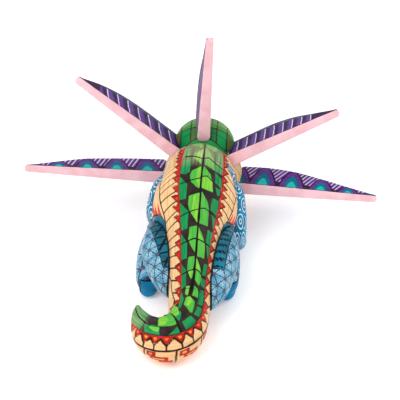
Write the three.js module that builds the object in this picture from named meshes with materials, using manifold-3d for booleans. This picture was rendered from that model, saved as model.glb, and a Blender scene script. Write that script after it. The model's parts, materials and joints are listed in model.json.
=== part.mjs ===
// A carved and painted copal-wood lizard: trunk, head, hooked tail and four legs are carved apart and
// glued on dowels, and five flat crest feathers plug into the head on pegs, so that they pull off for packing.
// Millimetres. +X is the lizard's right, +Y the way it faces, +Z up.
import * as THREE from "three";
import { mergeVertices } from "three/addons/utils/BufferGeometryUtils.js";
import Module from "manifold-3d";

const wasm = await Module();
wasm.setup();

// Driving dimensions.
const GAP = 0.3; // glue line between two pieces, and the play round a dowel
const NECK_PLANE = 70; // the trunk meets the head here, across Y
const TAIL_PLANE = -56; // the trunk meets the tail here, across Y
const FEATHER_THICKNESS = 9.5; // at the root
const FEATHER_TAPER = 0.45; // share of the thickness lost by the tip
const PEG_RADIUS = 2.5;
const PEG_IN_HEAD = 12;
const PEG_IN_FEATHER = 14;
const DOWEL_RADIUS = 3; // in the legs
const DOWEL_SIDES = 12;
const UP = new THREE.Vector3(0, 0, 1);

// Stations of a carved form: [x, y, z, half width, half height, roll in degrees].
const SPINE = [
  [-37.5, -59, 25, 1.5, 1.5, 0],
  [-36, -65, 22.5, 5, 5, 0],
  [-32, -72, 19, 9.5, 9.5, 0],
  [-25, -78.5, 16.6, 13.5, 14, 8],
  [-14.5, -80.5, 15.8, 15.8, 16.4, 10],
  [-5.5, -72, 16.2, 15, 16.2, 10],
  [-3, -60, 18.5, 14, 15.5, 10],
  [-3.2, -46, 25, 14.2, 17.5, 10],
  [-4.2, -30, 31, 15.5, 20.5, 12],
  [-4.5, -12, 36, 18, 24, 11],
  [-5, 5, 39, 22, 26, 11],
  [-5.3, 22, 42.2, 30.5, 26, 11],
  [-4.6, 42, 45.5, 30.5, 27, 9],
  [-4.2, 60, 47, 27.7, 29.5, 8],
  [-4, 72, 44.5, 26, 22.5, 6],
  [-3, 84, 42, 22, 17, 4],
];
const TAIL_STATIONS = 9; // the tail is carved from the first stations, which run a little past its joint
const TRUNK_FROM = 4; // the trunk is carved from this station on

const NECK_AND_SNOUT = [
  [-3.5, 58, 43, 23, 21],
  [-3, 72, 43, 28, 23],
  [-2.6, 84, 42, 29.5, 22],
  [-2.3, 97, 43, 26, 22],
  [-2.3, 108, 46, 21.5, 20],
  [-2.3, 119, 45, 17, 16],
  [-2.3, 129, 43, 13, 12.5],
  [-2.3, 135, 42, 10.5, 10.5],
];
const SKULL = { at: [-2.3, 92, 60], radii: [22.8, 21, 20] };
const BROW = { out: 14.5, y: 108, z: 53.5, radii: [7.5, 9.5, 7.5] };
const NOSTRIL = { out: 5.5, y: 130, z: 50.5, radii: [3.4, 4.2, 3] };
const MOUTH = { from: 108, z: 38.5, height: 2.2 };

// Each limb is three forms: the upper limb, the lower limb and the foot, then its toes. Widths are across X.
const LIMBS = {
  hind_leg_left: {
    upper: [[-12, -44, 20, 7, 8], [-18, -32, 26, 11.5, 13], [-26, -8, 32.5, 14.5, 15.5], [-32, 20, 38, 9, 10]],
    lower: [[-33, 18, 37, 7, 8], [-35.5, -2, 24, 8.5, 10], [-36, -15, 12, 8, 8.5], [-35, -22, 7, 6.5, 6.5]],
    foot: [[-35, -23, 6, 7, 6.5], [-35, -10, 5, 7.5, 5.5], [-34, 4, 4, 8, 4.5]],
  },
  hind_leg_right: {
    upper: [[8, -54, 19, 6, 7], [13, -38, 25, 10, 12], [16, -12, 31.5, 13, 15], [19, 20, 38, 8, 9]],
    lower: [[20, 17, 37, 7, 8], [21, -2, 24, 8.5, 10], [21, -15, 12, 8, 8.5], [20, -22, 7, 6.5, 6.5]],
    foot: [[20, -23, 6, 7, 6.5], [20, -10, 5, 7.5, 5.5], [20, 4, 4, 8, 4.5]],
  },
  front_leg_left: {
    upper: [[-24, 64, 48, 9, 11], [-28, 52, 43, 11, 13], [-33, 36, 34, 9, 10.5], [-34.5, 26, 29, 7, 7.5]],
    lower: [[-34.5, 26, 29, 7, 7.5], [-34, 36, 19, 7.5, 7.5], [-32, 48, 9, 6.5, 6], [-31, 54, 6, 5, 5]],
    foot: [[-31, 46, 5, 5.5, 5], [-31, 56, 4.5, 7.5, 4.7], [-31, 66, 3.6, 7.5, 4]],
  },
  front_leg_right: {
    upper: [[16, 64, 48, 9, 11], [19, 52, 41, 11, 13], [24.5, 33, 27.5, 8.5, 10], [26.5, 18.5, 20, 7.5, 8]],
    lower: [[26.5, 18.5, 21, 7.5, 7.5], [25.5, 32, 15, 7.5, 7.5], [23, 47, 8.5, 6.5, 6], [22, 54, 6, 5, 5]],
    foot: [[22, 46, 5, 5.5, 5], [22, 56, 4.5, 7.5, 4.7], [22, 66, 3.6, 7.5, 4]],
  },
};
const TOE_LENGTH = 15;
const TOE_RADIUS = 2.8;
const TOE_ANGLES = [-30, -10, 10, 30]; // from straight ahead, turned outwards

// Root: the inner end of the straight rear edge. Along: the way that the feather points. Drop: how far its front
// edge is tilted down about its length, in degrees. Widths: across the board, at equal steps from root to tip.
const FEATHERS = {
  crest_feather_centre: {
    root: [-1.8, 73.8, 76.3], along: [0.059, -0.198, 0.978], drop: 8, length: 92.5, widths: [23, 27, 26, 20, 11, 4],
  },
  crest_feather_upper_left: {
    root: [-20.6, 72.2, 60.9], along: [-0.769, 0.019, 0.639], drop: 8.5, length: 96, widths: [25, 26, 27, 25, 17.5, 4],
  },
  crest_feather_upper_right: {
    root: [18.2, 72.6, 57.9], along: [0.85, -0.054, 0.524], drop: -8, length: 91, widths: [24, 26, 27, 23, 14, 4.5],
  },
  crest_feather_lower_left: {
    root: [-31, 77, 37.5], along: [-0.975, -0.13, 0.12], drop: 12, length: 107, widths: [28, 27, 24.5, 21, 12.5, 3],
  },
  crest_feather_lower_right: {
    root: [25.5, 77, 30], along: [0.99, -0.1, 0.02], drop: -2, length: 104, widths: [27, 28, 25.5, 19, 11.5, 4],
  },
};

const NECK_DOWEL = { radius: 5, ends: [[-3, 56, 43], [-3, 81, 43]] };
const TAIL_DOWEL = { radius: 3.5, ends: [[-4, -68, 18], [-3, -44, 23]] };

// The legs' dowels lie across the body, along X.
const LIMB_DOWELS = {
  hip_dowel_left: { limb: "hind_leg_left", from: -12, to: -32, y: -14, z: 31 },
  hip_dowel_right: { limb: "hind_leg_right", from: 4, to: 23, y: -14, z: 31 },
  shoulder_dowel_left: { limb: "front_leg_left", from: -19, to: -37, y: 36, z: 31 },
  shoulder_dowel_right: { limb: "front_leg_right", from: 9, to: 27, y: 36, z: 29 },
};

// ---- Solids --------------------------------------------------------------------------------------

// A three.js geometry as a manifold-3d solid, its faces turned outwards.
function solid(geometry) {
  const bare = new THREE.BufferGeometry();
  bare.setAttribute("position", geometry.getAttribute("position"));
  bare.setIndex(geometry.index);
  const merged = mergeVertices(bare, 1e-4);
  const vertProperties = new Float32Array(merged.attributes.position.array);
  const triVerts = new Uint32Array(merged.index.array);
  const made = new wasm.Manifold(new wasm.Mesh({ numProp: 3, vertProperties, triVerts }));
  if (made.volume() > 0) return made;
  triVerts.reverse();
  return new wasm.Manifold(new wasm.Mesh({ numProp: 3, vertProperties, triVerts }));
}

function geometryOf(made) {
  const mesh = made.getMesh();
  const geometry = new THREE.BufferGeometry();
  geometry.setAttribute("position", new THREE.BufferAttribute(new Float32Array(mesh.vertProperties), 3));
  geometry.setIndex(new THREE.BufferAttribute(new Uint32Array(mesh.triVerts), 1));
  const flat = geometry.toNonIndexed();
  flat.computeVertexNormals();
  return flat;
}

const union = (solids) => solids.reduce((whole, next) => whole.add(next));

// A closed carved form: an oval section carried along a smooth path through the stations.
// fullness 2 gives an egg's ends and more gives blunter ones; ridge raises the section's top to a soft edge.
function carved(stations, { ring = 14, steps = 12, fullness = 3, ridge = 0, up = UP, grow = 0 } = {}) {
  const path = new THREE.CatmullRomCurve3(stations.map(([x, y, z]) => new THREE.Vector3(x, y, z)));
  const sizes = new THREE.CatmullRomCurve3(
    stations.map(([, , , width, height, roll = 0]) => new THREE.Vector3(width, height, roll)),
  );
  const geometry = new THREE.SphereGeometry(1, ring, steps);
  const place = geometry.getAttribute("position");
  const v = new THREE.Vector3();
  for (let i = 0; i < place.count; i++) {
    v.fromBufferAttribute(place, i);
    const along = THREE.MathUtils.clamp((1 - v.y) / 2, 0, 1);
    const full = (1 - Math.abs(v.y) ** fullness) ** (1 / fullness) || 0;
    const round = Math.hypot(v.x, v.z);
    const across = round > 1e-6 ? v.x / round : 0;
    const above = round > 1e-6 ? v.z / round : 0;
    const tangent = path.getTangent(along);
    const side = new THREE.Vector3().crossVectors(tangent, up).normalize();
    const top = new THREE.Vector3().crossVectors(side, tangent);
    const size = sizes.getPoint(along);
    const roll = THREE.MathUtils.degToRad(size.z);
    const peak = 1 + ridge * Math.max(0, above) ** 6;
    const wide = full * (size.x + grow) * across;
    const high = full * (size.y + grow) * above * peak;
    const at = path.getPoint(along);
    at.addScaledVector(side, wide * Math.cos(roll) + high * Math.sin(roll));
    at.addScaledVector(top, high * Math.cos(roll) - wide * Math.sin(roll));
    at.addScaledVector(tangent, grow * Math.sign(along - 0.5) * (1 - full));
    place.setXYZ(i, at.x, at.y, at.z);
  }
  return solid(geometry);
}

function egg([x, y, z], radii, grow, ring, steps) {
  const geometry = new THREE.SphereGeometry(1, ring, steps);
  geometry.rotateX(Math.PI / 2);
  geometry.scale(radii[0] + grow, radii[1] + grow, radii[2] + grow);
  geometry.translate(x, y, z);
  return solid(geometry);
}

// A box between two corners.
function block(low, high) {
  const geometry = new THREE.BoxGeometry(high[0] - low[0], high[1] - low[1], high[2] - low[2]);
  geometry.translate((low[0] + high[0]) / 2, (low[1] + high[1]) / 2, (low[2] + high[2]) / 2);
  return solid(geometry);
}

// A round rod between two points; grow makes the hole that it fits.
function rod(from, to, radius, grow = 0) {
  const axis = new THREE.Vector3().subVectors(to, from);
  const geometry = new THREE.CylinderGeometry(radius + grow, radius + grow, axis.length() + 2 * grow, DOWEL_SIDES);
  geometry.applyQuaternion(new THREE.Quaternion().setFromUnitVectors(new THREE.Vector3(0, 1, 0), axis.normalize()));
  geometry.translate((from.x + to.x) / 2, (from.y + to.y) / 2, (from.z + to.z) / 2);
  return solid(geometry);
}

const FAR = 400;
const floor = block([-FAR, -FAR, -FAR], [FAR, FAR, 0]);
const behind = (y, left = -FAR) => block([left, -FAR, -FAR], [FAR, y, FAR]);
const ahead = (y, left = -FAR) => block([left, y, -FAR], [FAR, FAR, FAR]);

// ---- Pieces --------------------------------------------------------------------------------------

function trunkForm(grow) {
  return carved(SPINE.slice(TRUNK_FROM), { ring: 24, steps: 22, fullness: 8, ridge: 0.03, grow });
}

function tailForm(grow) {
  return carved(SPINE.slice(0, TAIL_STATIONS), { ring: 20, steps: 24, fullness: 8, ridge: 0.03, grow });
}

const TAIL_LEFT = -24; // the tail joint's cut stops here, short of the hooked tip

function trunk(grow = 0) {
  return trunkForm(grow).subtract(behind(TAIL_PLANE + GAP - grow)).subtract(ahead(NECK_PLANE + grow));
}

function tail() {
  return tailForm(0).subtract(ahead(TAIL_PLANE, TAIL_LEFT)).subtract(floor);
}

function headForm(grow = 0) {
  const middle = SKULL.at[0];
  const pair = ({ out, y, z, radii }) => [-out, out].map((x) => egg([middle + x, y, z], radii, grow, 10, 8));
  const jaw = carved(NECK_AND_SNOUT, { ring: 20, steps: 18, fullness: 6, grow });
  return union([jaw, egg(SKULL.at, SKULL.radii, grow, 20, 14), ...pair(BROW), ...pair(NOSTRIL)]);
}

function head() {
  const { from, z, height } = MOUTH;
  const mouth = block([-FAR, from, z - height / 2], [FAR, FAR, z + height / 2]);
  return headForm().subtract(behind(NECK_PLANE + GAP)).subtract(mouth);
}

function toes([x, y, z], outwards) {
  return TOE_ANGLES.map((angle) => {
    const turned = THREE.MathUtils.degToRad(angle) * outwards;
    const reach = (length) => [x + length * Math.sin(turned), y + length * Math.cos(turned)];
    const stations = [
      [...reach(-3), z, TOE_RADIUS, TOE_RADIUS],
      [...reach(TOE_LENGTH / 2), z - 0.5, TOE_RADIUS, TOE_RADIUS],
      [...reach(TOE_LENGTH), 1.6, 1.4, 1.6],
    ];
    return carved(stations, { ring: 8, steps: 6 });
  });
}

function limb({ upper, lower, foot }) {
  const outwards = Math.sign(foot[0][0]);
  const instep = foot[foot.length - 1];
  return union([
    carved(upper, { fullness: 2.6 }),
    carved(lower, { fullness: 2.6, up: new THREE.Vector3(0, 1, 0.2) }),
    carved(foot, { ring: 12, steps: 8 }),
    ...toes(instep, outwards),
  ]).subtract(floor);
}

// The feather's outline in its own plane: X runs out from the root, Y from the rear edge to the front edge.
function featherOutline({ length, widths }) {
  const steps = widths.length - 1;
  const front = new THREE.SplineCurve(widths.map((width, i) => new THREE.Vector2((0.97 * length * i) / steps, width)));
  const outline = new THREE.Shape([new THREE.Vector2(-ROOT_INSET, 0), new THREE.Vector2(0.97 * length, 0)]);
  outline.quadraticCurveTo(length, 0, length, widths[steps] / 2);
  front.getPoints(12).reverse().forEach((p) => outline.lineTo(p.x, p.y));
  outline.lineTo(-ROOT_INSET, widths[0] - 2);
  return outline;
}

// The feather's own axes as a matrix: X along it, Y across its board to the front edge, Z through the board.
function featherFrame({ root, along, drop }) {
  const out = new THREE.Vector3(...along).normalize();
  const across = new THREE.Vector3(0, 1, 0).addScaledVector(out, -out.y).normalize();
  across.applyAxisAngle(out, THREE.MathUtils.degToRad(drop));
  const through = new THREE.Vector3().crossVectors(out, across);
  return new THREE.Matrix4().makeBasis(out, across, through).setPosition(...root);
}

const ROOT_INSET = 4; // the board runs this far inwards before the head's shape is cut out of its root

function featherBoard(feather, frame) {
  const geometry = new THREE.ExtrudeGeometry(featherOutline(feather), {
    depth: FEATHER_THICKNESS,
    bevelEnabled: false,
    curveSegments: 4,
  });
  geometry.translate(0, 0, -FEATHER_THICKNESS / 2);
  const place = geometry.getAttribute("position");
  for (let i = 0; i < place.count; i++) {
    const out = Math.max(0, place.getX(i)) / feather.length;
    place.setZ(i, place.getZ(i) * (1 - FEATHER_TAPER * out));
  }
  geometry.applyMatrix4(frame);
  return solid(geometry);
}

function pegEnds({ widths }, frame) {
  return [-PEG_IN_HEAD, PEG_IN_FEATHER].map((out) => new THREE.Vector3(out, 0.4 * widths[0], 0).applyMatrix4(frame));
}

// ---- Assembly ------------------------------------------------------------------------------------

const PAINT = { green: 0x2f9e4b, headGreen: 0x3aa04e, blue: 0x2f7fb0, purple: 0x6a3f8f };
const paint = (color) => new THREE.MeshStandardMaterial({ color, roughness: 0.45, metalness: 0 });
const bareWood = new THREE.MeshStandardMaterial({ color: 0xd9b98a, roughness: 0.8, metalness: 0 });
const figure = new THREE.Group();

function add(name, made, material) {
  const mesh = new THREE.Mesh(geometryOf(made), material);
  mesh.name = name;
  figure.add(mesh);
}

const grownTrunk = trunk(GAP);
const grownHead = headForm(GAP);
const neckDowel = NECK_DOWEL.ends.map((end) => new THREE.Vector3(...end));
const tailDowel = TAIL_DOWEL.ends.map((end) => new THREE.Vector3(...end));

let trunkSolid = trunk().subtract(rod(...neckDowel, NECK_DOWEL.radius, GAP));
trunkSolid = trunkSolid.subtract(rod(...tailDowel, TAIL_DOWEL.radius, GAP));
let headSolid = head().subtract(rod(...neckDowel, NECK_DOWEL.radius, GAP));
const tailSolid = tail().subtract(rod(...tailDowel, TAIL_DOWEL.radius, GAP));
add("neck_dowel", rod(...neckDowel, NECK_DOWEL.radius), bareWood);
add("tail_dowel", rod(...tailDowel, TAIL_DOWEL.radius), bareWood);

const limbSolids = {};
for (const [name, forms] of Object.entries(LIMBS))
  limbSolids[name] = limb(forms).subtract(grownTrunk).subtract(tailForm(GAP));
for (const [name, { limb: owner, from, to, y, z }] of Object.entries(LIMB_DOWELS)) {
  const ends = [new THREE.Vector3(from, y, z), new THREE.Vector3(to, y, z)];
  const hole = rod(...ends, DOWEL_RADIUS, GAP);
  trunkSolid = trunkSolid.subtract(hole);
  limbSolids[owner] = limbSolids[owner].subtract(hole);
  add(name, rod(...ends, DOWEL_RADIUS), bareWood);
}

for (const [name, feather] of Object.entries(FEATHERS)) {
  const frame = featherFrame(feather);
  const ends = pegEnds(feather, frame);
  const hole = rod(...ends, PEG_RADIUS, GAP);
  headSolid = headSolid.subtract(hole);
  add(name, featherBoard(feather, frame).subtract(grownHead).subtract(hole), paint(PAINT.purple));
  add(name.replace("feather", "peg"), rod(...ends, PEG_RADIUS), bareWood);
}

add("trunk", trunkSolid, paint(PAINT.green));
add("head", headSolid, paint(PAINT.headGreen));
add("tail", tailSolid, paint(PAINT.green));
for (const [name, made] of Object.entries(limbSolids)) add(name, made, paint(PAINT.blue));

// The part's origin is under the middle of its bounding box, on the surface that it stands on.
const bounds = new THREE.Box3().setFromObject(figure);
const middle = bounds.getCenter(new THREE.Vector3());
figure.position.set(-middle.x, -middle.y, -bounds.min.z);

export default figure;
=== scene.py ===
"""A carved and painted wooden lizard with a crest of flat feathers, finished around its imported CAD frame.

Every carved piece is made again as a fine, closed mesh with the same stations as the CAD part, in
millimetres in the part's own design frame, and is then moved into the frame's metres. The paint is a stack
of node layers: the script stores signed distances to each painted shape on the mesh, in millimetres, and
the material turns them into edges, brush streaks and varnish.
"""
import json
import math

import bpy
import numpy as np
from mathutils import Matrix, Vector, kdtree

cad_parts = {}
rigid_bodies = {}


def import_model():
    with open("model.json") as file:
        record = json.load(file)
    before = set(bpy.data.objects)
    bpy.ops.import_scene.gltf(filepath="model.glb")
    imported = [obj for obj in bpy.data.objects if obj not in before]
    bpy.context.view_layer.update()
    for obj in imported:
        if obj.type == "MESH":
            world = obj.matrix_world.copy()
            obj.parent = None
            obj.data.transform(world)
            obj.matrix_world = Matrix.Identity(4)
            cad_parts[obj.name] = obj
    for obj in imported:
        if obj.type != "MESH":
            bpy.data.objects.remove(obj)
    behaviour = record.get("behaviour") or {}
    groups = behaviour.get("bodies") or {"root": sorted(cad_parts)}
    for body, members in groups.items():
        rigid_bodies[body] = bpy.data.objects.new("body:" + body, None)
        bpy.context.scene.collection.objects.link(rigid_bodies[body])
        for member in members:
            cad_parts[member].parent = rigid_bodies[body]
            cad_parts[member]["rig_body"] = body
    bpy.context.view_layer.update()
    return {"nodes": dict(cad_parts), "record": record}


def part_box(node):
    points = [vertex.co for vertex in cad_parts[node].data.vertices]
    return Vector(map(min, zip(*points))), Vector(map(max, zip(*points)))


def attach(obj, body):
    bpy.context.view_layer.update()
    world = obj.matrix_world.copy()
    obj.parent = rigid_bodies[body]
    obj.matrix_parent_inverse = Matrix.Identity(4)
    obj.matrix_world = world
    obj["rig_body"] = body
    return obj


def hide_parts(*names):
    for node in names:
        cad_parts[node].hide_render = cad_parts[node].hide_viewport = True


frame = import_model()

MM = 0.001

# ---- The carving's driving sizes, as in the CAD part, in millimetres ----

GAP = 0.3
NECK_PLANE = 70
TAIL_PLANE = -56
TAIL_LEFT = -24
FEATHER_THICKNESS = 9.5
FEATHER_TAPER = 0.45
ROOT_INSET = 4
PEG_RADIUS = 2.5
PEG_IN_HEAD = 12
PEG_IN_FEATHER = 14
FAR = 400
UP = (0, 0, 1)

# Stations of a carved form: [x, y, z, half width, half height, roll in degrees where there is one].
SPINE = [
    [-37.5, -59, 25, 1.5, 1.5, 0],
    [-36, -65, 22.5, 5, 5, 0],
    [-32, -72, 19, 9.5, 9.5, 0],
    [-25, -78.5, 16.6, 13.5, 14, 8],
    [-14.5, -80.5, 15.8, 15.8, 16.4, 10],
    [-5.5, -72, 16.2, 15, 16.2, 10],
    [-3, -60, 18.5, 14, 15.5, 10],
    [-3.2, -46, 25, 14.2, 17.5, 10],
    [-4.2, -30, 31, 15.5, 20.5, 12],
    [-4.5, -12, 36, 18, 24, 11],
    [-5, 5, 39, 22, 26, 11],
    [-5.3, 22, 42.2, 30.5, 26, 11],
    [-4.6, 42, 45.5, 30.5, 27, 9],
    [-4.2, 60, 47, 27.7, 29.5, 8],
    [-4, 72, 44.5, 26, 22.5, 6],
    [-3, 84, 42, 22, 17, 4],
]
TAIL_STATIONS = 9
TRUNK_FROM = 4
BLUNT_ENDS = 8  # a Form's fullness
SPINE_RIDGE = 0.03
COARSE = 0.9  # the sampling step of bodies that are fused or only cut others, in millimetres
SOFTENING = 5
TAIL_TO_TRUNK = 36  # the tail's run along its ridge is this much ahead of the trunk's at their joint

NECK_AND_SNOUT = [
    [-3.5, 58, 43, 23, 21],
    [-3, 72, 43, 28, 23],
    [-2.6, 84, 42, 29.5, 22],
    [-2.3, 97, 43, 26, 22],
    [-2.3, 108, 46, 21.5, 20],
    [-2.3, 119, 45, 17, 16],
    [-2.3, 129, 43, 13, 12.5],
    [-2.3, 135, 42, 10.5, 10.5],
]
SKULL = {"at": (-2.3, 92, 60), "radii": (22.8, 21, 20)}
BROW = {"out": 14.5, "y": 108, "z": 53.5, "radii": (7.5, 9.5, 7.5)}
NOSTRIL = {"out": 5.5, "y": 130, "z": 50.5, "radii": (3.4, 4.2, 3)}
MOUTH = {"from": 108, "z": 38.5, "height": 2.2}

LIMBS = {
    "hind_leg_left": {
        "upper": [[-12, -44, 20, 7, 8], [-18, -32, 26, 11.5, 13], [-26, -8, 32.5, 14.5, 15.5],
                  [-32, 20, 38, 9, 10]],
        "lower": [[-33, 18, 37, 7, 8], [-35.5, -2, 24, 8.5, 10], [-36, -15, 12, 8, 8.5],
                  [-35, -22, 7, 6.5, 6.5]],
        "foot": [[-35, -23, 6, 7, 6.5], [-35, -10, 5, 7.5, 5.5], [-34, 4, 4, 8, 4.5]],
    },
    "hind_leg_right": {
        "upper": [[8, -54, 19, 6, 7], [13, -38, 25, 10, 12], [16, -12, 31.5, 13, 15], [19, 20, 38, 8, 9]],
        "lower": [[20, 17, 37, 7, 8], [21, -2, 24, 8.5, 10], [21, -15, 12, 8, 8.5], [20, -22, 7, 6.5, 6.5]],
        "foot": [[20, -23, 6, 7, 6.5], [20, -10, 5, 7.5, 5.5], [20, 4, 4, 8, 4.5]],
    },
    "front_leg_left": {
        "upper": [[-24, 64, 48, 9, 11], [-28, 52, 43, 11, 13], [-33, 36, 34, 9, 10.5],
                  [-34.5, 26, 29, 7, 7.5]],
        "lower": [[-34.5, 26, 29, 7, 7.5], [-34, 36, 19, 7.5, 7.5], [-32, 48, 9, 6.5, 6],
                  [-31, 54, 6, 5, 5]],
        "foot": [[-31, 46, 5, 5.5, 5], [-31, 56, 4.5, 7.5, 4.7], [-31, 66, 3.6, 7.5, 4]],
    },
    "front_leg_right": {
        "upper": [[16, 64, 48, 9, 11], [19, 52, 41, 11, 13], [24.5, 33, 27.5, 8.5, 10],
                  [26.5, 18.5, 20, 7.5, 8]],
        "lower": [[26.5, 18.5, 21, 7.5, 7.5], [25.5, 32, 15, 7.5, 7.5], [23, 47, 8.5, 6.5, 6],
                  [22, 54, 6, 5, 5]],
        "foot": [[22, 46, 5, 5.5, 5], [22, 56, 4.5, 7.5, 4.7], [22, 66, 3.6, 7.5, 4]],
    },
}
TOE_LENGTH = 15
TOE_RADIUS = 2.8
TOE_ANGLES = (-30, -10, 10, 30)

FEATHERS = {
    "centre": {"root": (-1.8, 73.8, 76.3), "along": (0.059, -0.198, 0.978), "drop": 8, "length": 92.5,
               "widths": (23, 27, 26, 20, 11, 4)},
    "upper_left": {"root": (-20.6, 72.2, 60.9), "along": (-0.769, 0.019, 0.639), "drop": 8.5, "length": 96,
                   "widths": (25, 26, 27, 25, 17.5, 4)},
    "upper_right": {"root": (18.2, 72.6, 57.9), "along": (0.85, -0.054, 0.524), "drop": -8, "length": 91,
                    "widths": (24, 26, 27, 23, 14, 4.5)},
    "lower_left": {"root": (-31, 77, 37.5), "along": (-0.975, -0.13, 0.12), "drop": 12, "length": 107,
                   "widths": (28, 27, 24.5, 21, 12.5, 3)},
    "lower_right": {"root": (25.5, 77, 30), "along": (0.99, -0.1, 0.02), "drop": -2, "length": 104,
                    "widths": (27, 28, 25.5, 19, 11.5, 4)},
}

# Each dowel joins the trunk to one other piece.
DOWELS = {
    "neck_dowel": {"to": "head", "radius": 5, "ends": ((-3, 56, 43), (-3, 81, 43))},
    "tail_dowel": {"to": "tail", "radius": 3.5, "ends": ((-4, -68, 18), (-3, -44, 23))},
    "hip_dowel_left": {"to": "hind_leg_left", "radius": 3, "ends": ((-12, -14, 31), (-32, -14, 31))},
    "hip_dowel_right": {"to": "hind_leg_right", "radius": 3, "ends": ((4, -14, 31), (23, -14, 31))},
    "shoulder_dowel_left": {"to": "front_leg_left", "radius": 3, "ends": ((-19, 36, 31), (-37, 36, 31))},
    "shoulder_dowel_right": {"to": "front_leg_right", "radius": 3, "ends": ((9, 36, 29), (27, 36, 29))},
}

# The design frame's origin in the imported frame: the neck dowel's middle is known in both.
dowel_low, dowel_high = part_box("neck_dowel")
dowel_middle = Vector(np.mean(DOWELS["neck_dowel"]["ends"], axis=0)) * MM
OFFSET = (dowel_low + dowel_high) / 2 - dowel_middle

# ---- Meshes ----


def unit(vector):
    vector = np.asarray(vector, float)
    return vector / np.linalg.norm(vector, axis=-1, keepdims=True)


def spline(points, t):
    """A centripetal Catmull-Rom curve through the points, at parameters t from 0 to 1."""
    points = np.asarray(points, float)
    last = len(points) - 1
    place = last * np.asarray(t, float)
    i = np.clip(np.floor(place).astype(int), 0, last - 1)
    w = (place - i)[:, None]
    padded = np.vstack([2 * points[0] - points[1], points, 2 * points[-1] - points[-2]])
    p0, p1, p2, p3 = padded[i], padded[i + 1], padded[i + 2], padded[i + 3]
    d0, d1, d2 = (((a - b) ** 2).sum(-1, keepdims=True) ** 0.25 for a, b in ((p0, p1), (p1, p2), (p2, p3)))
    d1 = np.where(d1 < 1e-4, 1.0, d1)
    d0 = np.where(d0 < 1e-4, d1, d0)
    d2 = np.where(d2 < 1e-4, d1, d2)
    t1 = ((p1 - p0) / d0 - (p2 - p0) / (d0 + d1) + (p2 - p1) / d1) * d1
    t2 = ((p2 - p1) / d1 - (p3 - p1) / (d1 + d2) + (p3 - p2) / d2) * d1
    square = -3 * p1 + 3 * p2 - 2 * t1 - t2
    cube = 2 * p1 - 2 * p2 + t1 + t2
    return p1 + t1 * w + square * w * w + cube * w**3


class Form:
    """An oval section carried along a smooth path, sampled finely. Its samples carry s, the run along its
    top ridge from where the first end cap turns into the side, and w, the run round the section from the
    ridge, negative on the left."""

    CAP = 0.001  # the path's share at which s is nought

    def __init__(self, stations, fullness=3.0, ridge=0.0, up=UP, step=0.6, grow=0.0):
        self.stations = np.array([[*station, 0][:6] for station in stations], float)
        self.fullness, self.ridge, self.up, self.grow = fullness, ridge, up, grow
        fine = (1 - np.cos(np.linspace(0, math.pi, 3001))) / 2
        top = self.section(fine, np.zeros(1))[:, 0]
        run = np.concatenate([[0], np.cumsum(np.linalg.norm(np.diff(top, axis=0), axis=1))])
        run -= np.interp(self.CAP, fine, run)
        self.s = np.linspace(run[0], run[-1], int(np.ptp(run) / step))
        girth = math.pi * (self.stations[:, 3] + self.stations[:, 4]).max()
        around = 2 * int(girth / step / 2)
        angles = np.arange(around + 1) / around * 2 * math.pi - math.pi
        points = self.section(np.interp(self.s, run, fine), angles)
        lengths = np.linalg.norm(np.diff(points, axis=1), axis=2)
        w = np.concatenate([np.zeros((len(points), 1)), np.cumsum(lengths, axis=1)], axis=1)
        self.w = (w - w[:, around // 2, None])[:, :-1]
        self.points = points[:, :-1]

    def section(self, t, angles):
        path, sizes = self.stations[:, :3], self.stations[:, 3:]
        at, size = spline(path, t), spline(sizes, t)
        tangent = unit(spline(path, np.minimum(t + 1e-4, 1)) - spline(path, np.maximum(t - 1e-4, 0)))
        side = unit(np.cross(tangent, self.up))
        top = np.cross(side, tangent)
        full = np.maximum(0, 1 - abs(1 - 2 * t) ** self.fullness) ** (1 / self.fullness)
        across, above = np.sin(angles), np.cos(angles)
        peak = 1 + self.ridge * np.maximum(0, above) ** 6
        wide = (full * (size[:, 0] + self.grow))[:, None] * across
        high = (full * (size[:, 1] + self.grow))[:, None] * above * peak
        roll = np.radians(size[:, 2])[:, None]
        sideways = wide * np.cos(roll) + high * np.sin(roll)
        upwards = high * np.cos(roll) - wide * np.sin(roll)
        shift = self.grow * np.sign(t - 0.5) * (1 - full)
        at = at + tangent * shift[:, None]
        return at[:, None] + sideways[..., None] * side[:, None] + upwards[..., None] * top[:, None]

    def mesh(self, name):
        return closed_rings(name, self.points)

    def locate(self, points):
        """s, w and depth below the form's surface of each point, from the nearest sample and its slopes."""
        flat = self.points.reshape(-1, 3)
        tree = kdtree.KDTree(len(flat))
        for i, p in enumerate(flat):
            tree.insert(p, i)
        tree.balance()
        nearest = np.array([tree.find(p)[1] for p in points])
        row, column = np.divmod(nearest, self.points.shape[1])
        row = np.clip(row, 1, len(self.s) - 2)
        around = self.points.shape[1]
        here = self.points[row, column]
        before, after = (column - 1) % around, (column + 1) % around
        step_s = self.points[row + 1, column] - self.points[row - 1, column]
        step_w = self.points[row, after] - self.points[row, before]
        gone = points - here
        normal = unit(np.cross(step_w, step_s) + 1e-12)
        along_s = (gone * step_s).sum(1) / np.maximum((step_s**2).sum(1), 1e-9)
        along_w = (gone * step_w).sum(1) / np.maximum((step_w**2).sum(1), 1e-9)
        s = self.s[row] + np.clip(along_s, -1, 1) * (self.s[row + 1] - self.s[row - 1])
        w = self.w[row, column] + np.clip(along_w, -1, 1) * np.linalg.norm(step_w, axis=1)
        depth = (gone * normal).sum(1)
        return s, w, np.where(abs(depth) > 0.25, abs(depth), 0)


def mesh_object(name, points, faces):
    mesh = bpy.data.meshes.new(name)
    mesh.from_pydata(np.asarray(points, float).tolist(), [], faces)
    turn_outwards(mesh)
    return add_object(name, mesh)


def add_object(name, data):
    """A new object in the scene, holding the mesh, light or camera."""
    thing = bpy.data.objects.new(name, data)
    bpy.context.scene.collection.objects.link(thing)
    return thing


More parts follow.
